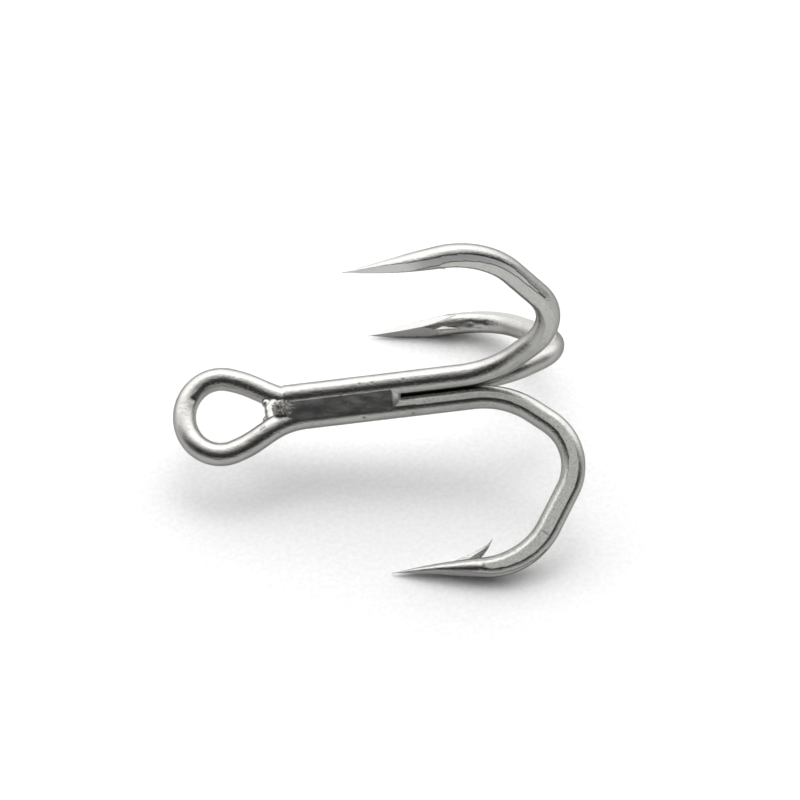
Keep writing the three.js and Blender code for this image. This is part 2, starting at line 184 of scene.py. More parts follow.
# Each hook: its turn from upright, its shift along the shank, where its wire
# starts, its barb's height and its tip's distance from the point's, its facets
# with the level of painted light on each, darker where the facet would reflect
# the shaded floor, its marks, and how satin its forged flats are, a share that
# also paints shade on the flats of the hooks where it is lower.
LOWER_TURN = 118.7
UPPER = dict(turn=1.0, shift=-1.04, start=-1.85, barb=0.75, barb_tip=9.6,
             facets=((UPPER_LEAF, 1.0), (UPPER_FAR_LEAF, 0.6)),
             marks=UPPER_MARKS, satin_and_shade=0.55, seed=3)
FRONT = dict(turn=-LOWER_TURN, shift=0.0, start=0.0, barb=1.75, barb_tip=10.5,
             facets=((FRONT_LEAF, 0.55), (FRONT_FAR_LEAF, 0.6)),
             marks=FRONT_MARKS, satin_and_shade=1.0, seed=5)
BACK = dict(turn=LOWER_TURN, shift=0.0, start=0.0, barb=0.9, barb_tip=10.0,
            facets=((BACK_LEAF, 0.25), (BACK_TOP, 0.5)),
            marks=BACK_MARKS, satin_and_shade=0.7, seed=8)

# Specks scattered on each wire: how many, from how far behind the tip, and the
# ranges of their length, their spread in degrees and their depth.
SPECKS = 260
SPECKS_FROM = 12.0
SPECK_LENGTH = (0.05, 0.11)
SPECK_SPREAD = (3, 7)
SPECK_DEPTH = (0.002, 0.018)
EYE_SEED = 13

# A mark shorter than this along the wire is a pit, with painted shade darkest at this depth.
PIT_LENGTH = 0.2
PIT_DEPTH = 0.035

# The barb: where it leaves the point and where its back stands, how it narrows
# to its tip, and how far its root is sunk so that it joins the wire.
BARB_FRONT = 5.7
BARB_REAR = 8.2
BARB_STEPS = 18
BARB_HALF_WIDTH = 0.42
BARB_NARROWING = 0.93
BARB_SHOULDER = 0.8
BARB_BACK = 0.55
BARB_BACK_BULGE = 0.06
BARB_RISE = 1.15
BARB_BURIED = 0.45
BARB_FRONT_BURIED = 0.06

# ---- braze, in millimetres ----
# Seams: the root is the depth of the groove that is filled, and the runout is
# the hollow end, where the fill drops to the end depth.
SEAM_START = -1.6
SEAM_ROOT = 0.35
SEAM_RUNOUT = 0.9
SEAM_FLUSH = 0.995
SEAM_CLEARANCE = 0.012
SEAM_SIDE_STEPS = 14
SEAM_SKIN_STEPS = 34
SEAM_END_STEPS = 16
SEAM_END_CROWDING = 1.6
SEAM_END_DEPTH = 0.1
SEAM_END_CURVE = 0.4
SEAM_SAG = 0.012
SEAM_END_SAG = 0.16
SEAM_WAVES = ((0.9, 0.03), (3.0, 0.004))
SEAMS = (("front", UPPER, FRONT, 9.6), ("rear", BACK, UPPER, 9.0), ("lower", FRONT, BACK, 9.2))
CORE_END = 10.5
CORE_END_SLICE = 0.5

# The throat's web, with its thickness as shares of the wire's radius.
WEB_START = -4.25
WEB_END = -1.5
WEB_RINGS = 30
WEB_SIDE_STEPS = 14
WEB_SKIN_STEPS = 26
WEB_FIT = 1.02
WEB_CLEARANCE = 0.01
WEB_THINNEST = 0.1
WEB_BELOW = 0.7
WEB_ABOVE = 0.8
WEB_DISH = 0.6
WEB_NARROWEST = 0.02

# Blobs melted into the web, as middle and half sizes, and the crust over it.
CRUST_PLACE = (-1.85, -1.0, 0.92)
CRUST_SIZE = (1.4, 0.74, 1.2)
THROAT_BLOBS = (((-2.35, -0.2, 0.75), (1.0, 1.2, 1.25)),
                ((-3.1, -0.05, -0.4), (0.95, 2.0, 0.65)),
                ((-3.8, 0.95, -0.3), (0.5, 0.5, 0.5)),
                ((-3.8, -0.95, -0.75), (0.5, 0.5, 0.5)))
BLOB_DETAIL = 4
CRUST_DETAIL = 6
LUMP_SCALE = 1.8
LUMP_HEIGHT = 0.16
GRIT_SCALE = 6.0
GRIT_HEIGHT = 0.10
GRIT_STEP_HEIGHT = 0.03
FLOW_VOXEL = 0.07
FLOW_ROUNDS = 10
FLOW_SOFTNESS = 0.5
FLOW_RIPPLE = 0.05
FLOW_SCALE = 1.6

# ---- mesh ----
CREASE = 24
THROAT_CREASE = 60
TINY = 1e-6
WIRE_SIDES = 96
STEP = 0.135
SHANK_OFFSET = (2 * WIRE_RADIUS + SHANK_GAP) / math.sqrt(3)
ALONG = np.array([1.0, 0.0, 0.0])


def linked(name, data):
    """A new object in the scene, around its data."""
    thing = bpy.data.objects.new(name, data)
    bpy.context.scene.collection.objects.link(thing)
    return thing


# ---------------------------------------------------------------- camera
def place_camera():
    """A camera on the photograph's side, looking down at the hook."""
    azimuth = math.radians(CAMERA_AZIMUTH)
    elevation = math.radians(CAMERA_ELEVATION)
    back = Vector((
        math.sin(azimuth) * math.cos(elevation),
        -math.cos(azimuth) * math.cos(elevation),
        math.sin(elevation),
    ))
    data = bpy.data.cameras.new("camera")
    data.angle = math.radians(CAMERA_FIELD)
    data.clip_start = CAMERA_NEAR
    camera = linked("camera", data)
    turn = (-back).to_track_quat("-Z", "Y").to_matrix().to_4x4()
    roll = Matrix.Rotation(math.radians(CAMERA_ROLL), 4, "Z")
    place = (Vector(CAMERA_AIM) + back * CAMERA_DISTANCE) * MM
    camera.matrix_world = Matrix.Translation(place) @ turn @ roll
    bpy.context.scene.camera = camera


# ---------------------------------------------------------------- the hook's frame
def hook_frame():
    """Where the shank's frame lies in the row: the braze core is a straight
    prism along the shank, so the middles of its two ends give the axis."""
    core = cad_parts["braze_core"]
    points = np.array([v.co for v in core.data.vertices])
    low = points[points[:, 0] < points[:, 0].min() + CORE_END_SLICE * MM].mean(0)
    high = points[points[:, 0] > points[:, 0].max() - CORE_END_SLICE * MM].mean(0)
    tilt = math.atan2(high[2] - low[2], high[0] - low[0])
    origin = low + (high - low) * (-SEAM_START / (CORE_END - SEAM_START))
    turn = Matrix.Rotation(-tilt, 4, "Y")
    return Matrix.Translation(Vector(origin)) @ turn @ Matrix.Scale(MM, 4)


# ---------------------------------------------------------------- lines
def hook_line(hook):
    """Stations of one hook's middle line: place along the shank, distance out
    from its axis, heading and length still to go to the tip."""
    x, out, heading, travelled = hook["start"], SHANK_OFFSET, 0.0, 0.0
    line = [(x, out, heading, travelled)]
    runs = [(SHANK_LENGTH + hook["shift"] - hook["start"], 0.0)]
    for radius, angle, straight in BENDS:
        runs.append((radius * math.radians(angle), math.radians(angle)))
        if straight > 0:
            runs.append((straight, 0.0))
    runs.append((POINT_LENGTH, -math.radians(POINT_FLARE)))
    for length, turn in runs:
        steps = math.ceil(length / STEP)
        half = turn / steps / 2
        chord = length / steps * (math.sin(half) / half if half else 1.0)
        for _ in range(steps):
            heading += half
            x += chord * math.cos(heading)
            out += chord * math.sin(heading)
            heading += half
            travelled += length / steps
            line.append((x, out, heading, travelled))
    line = np.array(line)
    line[:, 3] = travelled - line[:, 3]
    return line


def outward(hook):
    """The direction from the shank's axis in which the hook stands out."""
    turn = math.radians(hook["turn"])
    return np.array([0.0, math.sin(turn), math.cos(turn)])


def axes_at(hook, heading):
    """The outside of the bend and the hook's side, across the wire."""
    out = outward(hook)
    outer = math.sin(heading) * ALONG - math.cos(heading) * out
    tangent = math.cos(heading) * ALONG + math.sin(heading) * out
    return outer, np.cross(tangent, outer)


def wire_radius(hook, to_tip, phi):
    """The wire's radius in directions phi, 0 on the outside of the bend, with
    how much of it is a forged flat and how much a ground facet. A ground facet's
    share is the level of painted light given to that facet."""
    def share(taper):
        length, power = taper
        return 1 - (1 - min(max(to_tip / length, 0), 1)) ** power

    flat = math.radians(np.interp(to_tip, FLAT_AT, FLAT_ANGLE))
    widest = 1 - math.cos(math.radians(FLAT_WIDEST))
    widening = 1 + FORGED_WIDENING * (1 - math.cos(flat)) / widest
    in_plane = max(WIRE_RADIUS * share(TAPER_IN_PLANE) * widening, TIP_RADIUS)
    across = max(WIRE_RADIUS * share(TAPER_ACROSS), TIP_RADIUS)
    radius = 1 / np.hypot(np.cos(phi) / in_plane, np.sin(phi) / across)
    side = np.maximum(np.abs(np.sin(phi)), TINY)
    flat_radius = WIRE_RADIUS * math.cos(flat) / side
    forged = (flat_radius < radius) & (flat > 0)
    radius = np.minimum(radius, flat_radius)
    ground = np.zeros_like(phi)
    for rows, painted_light in hook["facets"]:
        at, turns, halves = np.array(rows, dtype=float).T
        turn = math.radians(np.interp(to_tip, at, turns))
        half = math.radians(np.interp(to_tip, at, halves))
        if half <= 0:
            continue
        facing = np.cos(phi - turn)
        full = 1 / math.hypot(math.cos(turn) / in_plane, math.sin(turn) / across)
        reach = full * math.cos(half) / np.maximum(facing, TINY)
        cut = (facing > 0) & (reach < radius)
        radius = np.where(cut, reach, radius)
        # A cut facet's share is its level of painted light.
        ground = np.where(cut, painted_light, ground)
        forged &= ~cut
    return radius, forged.astype(float), ground


def dents(marks, to_tip, phi):
    """How deep the marks go in directions phi at one station."""
    at, turn, length, spread, depth = (column[:, None] for column in marks.T)
    apart = (np.degrees(phi)[None, :] - turn + 180) % 360 - 180
    return (depth * np.exp(-((to_tip - at) / length) ** 2 - (apart / spread) ** 2)).sum(0)


def pit_share(marks, at, phi):
    """How much of the wire's skin is a small pit painted dark with shade, in directions phi."""
    small = marks[marks[:, 2] < PIT_LENGTH]
    return np.clip(dents(small, at, phi) / PIT_DEPTH, 0, 1)


def with_specks(marks, start, end, seed):
    """The marks, and fine specks scattered along the same wire."""
    draw = np.random.RandomState(seed)
    specks = np.stack([
        draw.uniform(start, end, SPECKS),
        draw.uniform(-180, 180, SPECKS),
        draw.uniform(*SPECK_LENGTH, SPECKS),
        draw.uniform(*SPECK_SPREAD, SPECKS),
        draw.uniform(*SPECK_DEPTH, SPECKS),
    ], axis=1)
    return np.vstack([np.array(marks, dtype=float), specks])


def hook_rings(hook, mirrored=False):
    """Rings of points along one hook, with the shares of forged flat, ground
    facet, facet edge and pit at each point. They carry painted light and shade:
    the facets' levels, a shade line at facet edges and shade in the pits."""
    way_round = -1 if mirrored else 1
    phi = np.arange(WIRE_SIDES) * 2 * math.pi / WIRE_SIDES * way_round
    out = outward(hook)
    line = hook_line(hook)
    marks = with_specks(hook["marks"], SPECKS_FROM, line[0, 3], hook["seed"])
    rings, shares = [], []
    for x, far, heading, to_tip in line:
        outer, side = axes_at(hook, heading)
        radius, forged, ground = wire_radius(hook, to_tip, phi)
        deep = dents(marks, to_tip, phi)
        radius = np.maximum(radius - deep, THINNEST_RADIUS)
        # A line of painted shade where a facet meets another facet or the round wire.
        changes = np.abs(ground - np.roll(ground, 1)) > 0
        edge = changes.astype(float) * (to_tip > FACET_EDGE_FROM)
        centre = x * ALONG + far * out
        ring = centre + np.outer(radius * np.cos(phi), outer)
        ring = ring + np.outer(radius * np.sin(phi), side)
        rings.append(ring)
        # The forged share is scaled by the hook's satin share, which also paints shade on its flats.
        shares.append([forged * hook["satin_and_shade"], ground, edge, pit_share(marks, to_tip, phi)])
    return np.array(rings), np.array(shares).transpose(1, 0, 2)


def eye_line():
    """The eye's middle line, from the front shank round to the back shank."""
    start = math.radians(EYE_ARC_START)
    out = outward(BACK)
    leg_end = np.array([0.0, out[1] * SHANK_OFFSET])
    arc_end = np.array([
        EYE_CENTRE + EYE_HALF_LENGTH * math.cos(start),
        EYE_HALF_WIDTH * math.sin(start),
    ])
    leave = np.array([EYE_HALF_LENGTH * math.sin(start), -EYE_HALF_WIDTH * math.cos(start)])
    leave /= np.linalg.norm(leave)
    reach = np.linalg.norm(arc_end - leg_end)
    corners = (
        leg_end,
        leg_end - np.array([EYE_SHANK_HANDLE * reach, 0.0]),
        arc_end + EYE_ARC_HANDLE * reach * leave,
        arc_end,
    )
    t = np.linspace(0, 1, EYE_LEG_STEPS + 1)[1:, None]
    weights = ((1 - t) ** 3, 3 * (1 - t) ** 2 * t, 3 * (1 - t) * t ** 2, t ** 3)
    leg = sum(w * c for w, c in zip(weights, corners))
    around = np.linspace(2 * math.pi - start, start, EYE_ARC_STEPS)[1:-1]
    arc = np.stack([
        EYE_CENTRE + EYE_HALF_LENGTH * np.cos(around),
        EYE_HALF_WIDTH * np.sin(around),
    ], axis=1)
    flat = np.vstack([leg * (1, -1), arc, leg[::-1]])
    past = np.maximum(EYE_BENT_FROM - flat[:, 0], 0)
    t = np.clip(past / EYE_TWIST_LENGTH, 0, 1)
    twist = math.radians(EYE_TWIST) * t * t * (3 - 2 * t)
    height = out[2] * SHANK_OFFSET + past * math.sin(math.radians(EYE_PITCH))
    y = flat[:, 1]
    return np.stack([flat[:, 0], y * np.cos(twist), height + y * np.sin(twist)], axis=1)


def eye_rings(points, first_axis, last_axis):
    """Round rings along the eye's line, with the share of pit at each point.
    They turn evenly, to fit the rings of the shanks that they join."""
    tangents = np.gradient(points, axis=0)
    tangents /= np.linalg.norm(tangents, axis=1)[:, None]
    axes = []
    axis = first_axis
    for tangent in tangents:
        axis = axis - axis.dot(tangent) * tangent
        axis /= np.linalg.norm(axis)
        axes.append(axis)
    left = math.atan2(np.cross(axis, last_axis).dot(tangents[-1]), axis.dot(last_axis))
    phi = np.arange(WIRE_SIDES) * 2 * math.pi / WIRE_SIDES
    gone = np.append(0, np.cumsum(np.linalg.norm(np.diff(points, axis=0), axis=1)))
    marks = with_specks(EYE_MARKS, 0, gone[-1], EYE_SEED)
    rings, pits = [], []
    for n, (centre, tangent, axis) in enumerate(zip(points, tangents, axes)):
        angle = phi + left * (n + 1) / len(points)
        second = np.cross(tangent, axis)
        radius = WIRE_RADIUS - dents(marks, gone[n], phi)
        spoke = np.outer(np.cos(angle), axis) + np.outer(np.sin(angle), second)
        rings.append(centre + radius[:, None] * spoke)
        pits.append(pit_share(marks, gone[n], phi))
    return np.array(rings), np.array(pits)


# ---------------------------------------------------------------- meshes
def loft(name, rings, attributes=()):
    """A closed mesh through rings of equal length, with fans at its ends."""
    count, sides = rings.shape[:2]
    points = rings.reshape(-1, 3)
    hubs = np.array([rings[0].mean(0), rings[-1].mean(0)])
    a = (np.arange(count - 1)[:, None] * sides + np.arange(sides)).ravel()
    b = (np.arange(count - 1)[:, None] * sides + (np.arange(sides) + 1) % sides).ravel()
    faces = np.stack([a, b, b + sides, a + sides], axis=1).tolist()
    last = (count - 1) * sides
    for i in range(sides):
        j = (i + 1) % sides
        faces.append([j, i, count * sides])
        faces.append([last + i, last + j, count * sides + 1])
    mesh = bpy.data.meshes.new(name)
    mesh.from_pydata(np.vstack([points, hubs]).tolist(), [], faces)
    for key, values in attributes:
        layer = mesh.attributes.new(key, "FLOAT", "POINT")
        layer.data.foreach_set("value", np.append(values.ravel(), [0.0, 0.0]).astype(np.float32))
    return linked(name, mesh)


def barb(hook):
    """A slim sliver with a ridge, cut up from the inner side of the point."""
    line = hook_line(hook)[::-1]
    tip = hook["barb_tip"]

    def at(to_tip, inwards, sideways):
        x, far, heading = (np.interp(to_tip, line[:, 3], line[:, i]) for i in range(3))
        outer, side = axes_at(hook, heading)
        return x * ALONG + far * outward(hook) - inwards * outer + sideways * side

    def skin(to_tip):
        return float(wire_radius(hook, to_tip, np.array([math.pi]))[0][0])

    root = skin(BARB_REAR) - BARB_BURIED
    start = skin(BARB_FRONT) - BARB_FRONT_BURIED
    top = skin(BARB_REAR + 1) + hook["barb"]
    rings = []
    for t in np.linspace(0, 1, BARB_STEPS + 1):
        front = BARB_FRONT + (tip - BARB_FRONT) * t
        rear = BARB_REAR + (tip - BARB_REAR) * t
        rise_front = start + (top - start) * t ** BARB_RISE
        rise_rear = root + (top - root) * t
        width = BARB_HALF_WIDTH * (1 - t * BARB_NARROWING)
        middle = (front + rear) / 2
        rise = (rise_front + rise_rear) / 2
        rings.append([
            at(front, rise_front, 0.0),
            at(middle, rise, width * BARB_SHOULDER),
            at(rear, rise_rear, width * BARB_BACK),
            at(rear + BARB_BACK_BULGE * (1 - t), rise_rear, 0.0),
            at(rear, rise_rear, -width * BARB_BACK),
            at(middle, rise, -width * BARB_SHOULDER),
        ])
    return loft("barb", np.array(rings))


def outward_normals(piece):
    """Turns every face of a closed mesh outwards."""
    edit = bmesh.new()
    edit.from_mesh(piece.data)
    bmesh.ops.recalc_face_normals(edit, faces=edit.faces)
    edit.to_mesh(piece.data)
    edit.free()


def unite(piece, *others):
    """Joins closed pieces into one closed mesh."""
    for other in others:
        outward_normals(other)
        modifier = piece.modifiers.new("unite", "BOOLEAN")
        modifier.operation = "UNION"
        modifier.solver = "EXACT"
        modifier.object = other
        bpy.context.view_layer.objects.active = piece
        with bpy.context.temp_override(object=piece, active_object=piece):
            bpy.ops.object.modifier_apply(modifier=modifier.name)
        bpy.data.objects.remove(other)
    return piece


def finish_piece(piece, node, material, place, crease=CREASE):
    """Lays a piece in the row, shades it, gives it its material, hides the imported part it stands in
    for and hangs it under the root body.
    """
    piece.data.transform(place)
    piece.data.polygons.foreach_set("use_smooth", [True] * len(piece.data.polygons))
    piece.data.set_sharp_from_angle(angle=math.radians(crease))
    piece.data.materials.clear()
    piece.data.materials.append(material)
    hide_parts(node)
    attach(piece, "root")
    return piece


def wire_attributes(shares):
    """The wire's shares, with the names that its material reads."""
    return tuple(zip(("forged", "ground", "edge", "pit"), shares))


def double_hook():
    """One wire: the front hook, the eye and the back hook, with two barbs."""
    front, front_shares = hook_rings(FRONT, mirrored=True)
    back, back_shares = hook_rings(BACK)
    eye, pits = eye_rings(eye_line(), axes_at(FRONT, 0)[0], axes_at(BACK, 0)[0])
    none = np.zeros_like(pits)
    plain = np.stack([none, none, none, pits])
    rings = np.vstack([front[::-1], eye, back])
    shares = np.concatenate([front_shares[:, ::-1], plain, back_shares], axis=1)
    piece = loft("double_hook", rings, wire_attributes(shares))
    outward_normals(piece)
    return unite(piece, barb(FRONT), barb(BACK))


def single_hook():
    """The upper hook's own wire, with its barb."""
    rings, shares = hook_rings(UPPER)
    piece = loft("single_hook", rings, wire_attributes(shares))
    outward_normals(piece)
    return unite(piece, barb(UPPER))


def rough_noise(point, scale, seed):
    """Smooth noise between -1 and 1 at a place in the hook's frame."""
    return noise.noise(Vector(point) * scale + Vector((seed, seed, seed)))


def seam(name, hook_a, hook_b, end):
    """Braze in the groove between two shanks, hollow at its far end."""
    a = outward(hook_a) * SHANK_OFFSET
    b = outward(hook_b) * SHANK_OFFSET
    middle = (a + b) / 2
    half = np.linalg.norm(b - a) / 2
    across = (b - a) / (2 * half)
    out = middle / np.linalg.norm(middle)
    radius = WIRE_RADIUS + SEAM_CLEARANCE
    full_depth = WIRE_RADIUS * SEAM_FLUSH - SEAM_ROOT - SEAM_END_DEPTH
    body = np.arange(SEAM_START, end - SEAM_RUNOUT, STEP)
    run_out = end - SEAM_RUNOUT * np.linspace(1, 0, SEAM_END_STEPS) ** SEAM_END_CROWDING
    rings, rims = [], []
    for x in np.append(body, run_out):
        left = min(max((end - x) / SEAM_RUNOUT, 0), 1)
        depth = SEAM_ROOT + SEAM_END_DEPTH + full_depth * left ** SEAM_END_CURVE
        v = SEAM_ROOT + (depth - SEAM_ROOT) * np.linspace(0, 1, SEAM_SIDE_STEPS)
        u = half - np.sqrt(radius ** 2 - v ** 2)
        skin_u = np.linspace(u[-1], -u[-1], SEAM_SKIN_STEPS)[1:-1]
        sag = SEAM_SAG + SEAM_END_SAG * (1 - left)
        skin_v = depth - sag * (1 - (skin_u / u[-1]) ** 2)
        inside = 1 - (skin_u / u[-1]) ** 4
        for i, w in enumerate(skin_u):
            wave = sum(rough_noise((x, w, 0), scale, half) * height for scale, height in SEAM_WAVES)
            skin_v[i] += wave * inside[i] * left
        us = np.concatenate([u, skin_u, -u[::-1]])
        vs = np.concatenate([v, skin_v, v[::-1]])
        rings.append(x * ALONG + middle + np.outer(vs, out) + np.outer(us, across))
        # The rim share paints a highlight on the hollow end, full at the very end.
        rims.append(np.full(len(us), math.sqrt(1 - left)))
    piece = loft(name, np.array(rings), (("rim", np.array(rims)),))
    outward_normals(piece)
    return piece


def point_at(leg, x):
    """The point of one of the eye's legs at a place along the shank."""
    return np.array([np.interp(-x, -leg[:, 0], leg[:, i]) for i in range(3)])


def throat():
    """The web between the eye's legs, drawn up against them by the braze."""
    line = eye_line()
    half_count = len(line) // 2
    front_leg = line[:half_count]
    back_leg = line[half_count:][::-1]
    wide = WIRE_RADIUS * WEB_FIT + WEB_CLEARANCE
    rings = []
    for share in np.linspace(0, 1, WEB_RINGS):
        x = WEB_START + (WEB_END - WEB_START) * share
        front = point_at(front_leg, x)
        back = point_at(back_leg, x)
        middle = (front + back) / 2
        gap = np.linalg.norm(back - front) / 2
        across = (back - front) / (2 * gap)
        up = np.cross(ALONG, across)
        ease = math.sqrt(math.sin(share * math.pi / 2))
        under = -WIRE_RADIUS * (WEB_THINNEST + WEB_BELOW * ease)
        over = WIRE_RADIUS * (WEB_THINNEST + WEB_ABOVE * ease)
        v = np.linspace(under, over, WEB_SIDE_STEPS)
        u = np.maximum(gap - np.sqrt(np.maximum(wide ** 2 - v ** 2, 0)), WEB_NARROWEST)
        top_u = np.linspace(u[-1], -u[-1], WEB_SKIN_STEPS)[1:-1]
        low_u = np.linspace(-u[0], u[0], WEB_SKIN_STEPS)[1:-1]
        dish = WEB_DISH * (over - under) / 2
        top_v = over - dish * (1 - (top_u / u[-1]) ** 2)
        low_v = under + dish * (1 - (low_u / u[0]) ** 2)
        us = np.concatenate([u, top_u, -u[::-1], low_u])
        vs = np.concatenate([v, top_v, v[::-1], low_v])
        rings.append(middle + np.outer(vs, up) + np.outer(us, across))
    piece = loft("throat_web", np.array(rings))
    outward_normals(piece)
    return piece


def ball(name, detail, shape):
    """A closed ball, with each of its points moved to where shape puts it."""
    edit = bmesh.new()
    bmesh.ops.create_icosphere(edit, subdivisions=detail, radius=1.0)
    for vertex in edit.verts:
        vertex.co = shape(vertex.co)
    mesh = bpy.data.meshes.new(name)
    edit.to_mesh(mesh)
    edit.free()
    return linked(name, mesh)


def blob(centre, size):
    """A smooth drop of braze."""
    return ball("blob", BLOB_DETAIL, lambda point: point * Vector(size) + Vector(centre))


def flow_together(piece, voxel, rounds):
    """Melts a closed piece's corners, as braze does before it sets."""
    remesh = piece.modifiers.new("remesh", "REMESH")
    remesh.mode = "VOXEL"
    remesh.voxel_size = voxel
    soften = piece.modifiers.new("soften", "SMOOTH")
    soften.iterations = rounds
    soften.factor = FLOW_SOFTNESS
    shaped = piece.evaluated_get(bpy.context.evaluated_depsgraph_get())
    mesh = bpy.data.meshes.new_from_object(shaped)
    piece.modifiers.clear()
    piece.data = mesh
    for vertex in mesh.vertices:
        vertex.co += vertex.normal * FLOW_RIPPLE * noise.noise(vertex.co * FLOW_SCALE)
    return piece


def throat_lump(name, centre, size):
    """A crust of boiled braze and flux over the throat, grainy and pitted."""
    def shape(point):
        spot = point * Vector(size)
        coarse = noise.turbulence(spot * LUMP_SCALE, 3, False)
        fine = noise.cell(spot * GRIT_SCALE) - 0.5
        grit = noise.noise(spot * GRIT_SCALE)
        swell = 1 + LUMP_HEIGHT * (coarse - 0.5) + GRIT_STEP_HEIGHT * fine + GRIT_HEIGHT * grit
        return spot * swell + Vector(centre)

    return ball(name, CRUST_DETAIL, shape)


# ---------------------------------------------------------------- materials
def metal(name):
    """A new metal material, with its node tree and its shader."""
    material = bpy.data.materials.new(name)
    material.use_nodes = True
    tree = material.node_tree
    shader = tree.nodes["Principled BSDF"]
    shader.inputs["Metallic"].default_value = 1.0
    shader.inputs["Specular Tint"].default_value = EDGE_TINT
    return material, tree, shader


def add(tree, kind, **settings):
    """A new node, with its input values or its own settings."""
    node = tree.nodes.new(kind)
    for key, value in settings.items():
        if key in node.inputs:
            node.inputs[key].default_value = value
        else:
            setattr(node, key, value)
    return node


def grain(tree, size_mm, detail=4.0, roughness=0.6):
    """Noise whose largest grains are about size_mm across."""
    place = add(tree, "ShaderNodeTexCoord").outputs["Object"]
    texture = add(tree, "ShaderNodeTexNoise")
    texture.inputs["Scale"].default_value = 1000.0 / size_mm
    texture.inputs["Detail"].default_value = detail
    texture.inputs["Roughness"].default_value = roughness
    tree.links.new(place, texture.inputs["Vector"])
    return texture.outputs["Fac"]


def to_range(tree, source, low, high, from_low=0.3, from_high=0.7):
    """The source, stretched from one range of values to another."""
    node = add(tree, "ShaderNodeMapRange")
    node.inputs["From Min"].default_value = from_low
    node.inputs["From Max"].default_value = from_high
    node.inputs["To Min"].default_value = low
    node.inputs["To Max"].default_value = high
    tree.links.new(source, node.inputs["Value"])
    return node.outputs["Result"]


def mix_float(tree, factor, a, b):
    """From value a to value b as the factor goes from 0 to 1."""
    node = add(tree, "ShaderNodeMix", data_type="FLOAT")
    tree.links.new(factor, node.inputs["Factor"])
    for value, socket in ((a, node.inputs["A"]), (b, node.inputs["B"])):
        if isinstance(value, (int, float)):
            socket.default_value = value
        else:
            tree.links.new(value, socket)
    return node.outputs["Result"]


def mix_colour(tree, factor, a, b):
    """From colour a to colour b. A mix node's sockets share their names, so its
    colour sockets are found by number."""
    node = add(tree, "ShaderNodeMix", data_type="RGBA")
    tree.links.new(factor, node.inputs["Factor"])
    for value, socket in ((a, node.inputs[6]), (b, node.inputs[7])):
        if isinstance(value, tuple):
            socket.default_value = (*value, 1.0)
        else:
            tree.links.new(value, socket)
    return node.outputs[2]


def share_of(tree, name):
    """One of the mesh's own attributes."""
    return add(tree, "ShaderNodeAttribute", attribute_name=name).outputs["Fac"]


def bump_from(tree, shader, height, strength, distance_mm):
    """Roughens the shader's normal by a height."""
    bump = add(tree, "ShaderNodeBump")
    bump.inputs["Distance"].default_value = distance_mm * MM
    if isinstance(strength, float):
        bump.inputs["Strength"].default_value = strength
    else:
        tree.links.new(strength, bump.inputs["Strength"])
    tree.links.new(height, bump.inputs["Height"])
    tree.links.new(bump.outputs["Normal"], shader.inputs["Normal"])


def plated_wire():
    """Bright plating over drawn wire: grainy on forged flats, satin on ground
    facets with a dark edge, and dull in its pits. Painted light and shade ride
    on it: a darker flat share on some hooks, a painted light level for each facet,
    a painted shade line along facet edges and painted shade in the pits."""
    material, tree, shader = metal("plated_wire")
    forged = share_of(tree, "forged")
    ground = share_of(tree, "ground")
    edge = share_of(tree, "edge")
    pit = share_of(tree, "pit")
    drift = grain(tree, WIRE_DRIFT, 3.0)
    fine = grain(tree, WIRE_GRAIN, 4.0, 0.7)
    colour = mix_colour(tree, to_range(tree, drift, 0, 1), WIRE_DULL, WIRE_BRIGHT)
    sparkle = to_range(tree, grain(tree, FORGED_SPARKLE, 2.0, 0.5), 0, 1, 0.35, 0.65)
    satin_and_shade = mix_colour(tree, sparkle, FORGED_DULL, FORGED_BRIGHT)
    # The flats' share is lower on some hooks, which paints their flats darker with shade.
    colour = mix_colour(tree, forged, colour, satin_and_shade)
    # Ground facets: painted light and shade, by each facet's level.
    facet_painted_light = mix_colour(tree, ground, GROUND_SHADED, GROUND_LIT)
    is_ground = to_range(tree, ground, 0, 1, 0, 0.2)
    colour = mix_colour(tree, is_ground, colour, facet_painted_light)
    # Painted shade along the facet edges.
    colour = mix_colour(tree, edge, colour, FACET_EDGE_SHADE)
    # Painted shade in the pits.
    colour = mix_colour(tree, pit, colour, PIT_SHADE)
    tree.links.new(colour, shader.inputs["Base Color"])
    rough = mix_float(tree, forged, to_range(tree, drift, *WIRE_ROUGHNESS), FORGED_ROUGHNESS)
    rough = mix_float(tree, is_ground, rough, GROUND_ROUGHNESS)
    rough = mix_float(tree, pit, rough, PIT_ROUGHNESS)
    tree.links.new(rough, shader.inputs["Roughness"])
    strength = mix_float(tree, forged, WIRE_BUMP, FORGED_BUMP)
    bump_from(tree, shader, fine, strength, WIRE_BUMP_HEIGHT)
    return material


def plated_braze(name, dull, bright, rough, bump_height):
    """Plated braze: the same metal, duller, with a flowed or a grainy skin, and a painted highlight on
    each seam's hollow end.
    """
    material, tree, shader = metal(name)
    rim = share_of(tree, "rim")
    drift = grain(tree, BRAZE_DRIFT, 4.0)
    fine = grain(tree, BRAZE_GRAIN, 6.0, 0.75)
    colour = mix_colour(tree, to_range(tree, drift, 0, 1), dull, bright)
    # Painted highlight on a seam's hollow end.
    colour = mix_colour(tree, rim, colour, RIM_HIGHLIGHT)
    tree.links.new(colour, shader.inputs["Base Color"])
    skin = mix_float(tree, rim, to_range(tree, fine, *rough), RIM_ROUGHNESS)
    tree.links.new(skin, shader.inputs["Roughness"])
    bump_from(tree, shader, fine, BRAZE_BUMP, bump_height)
    return material


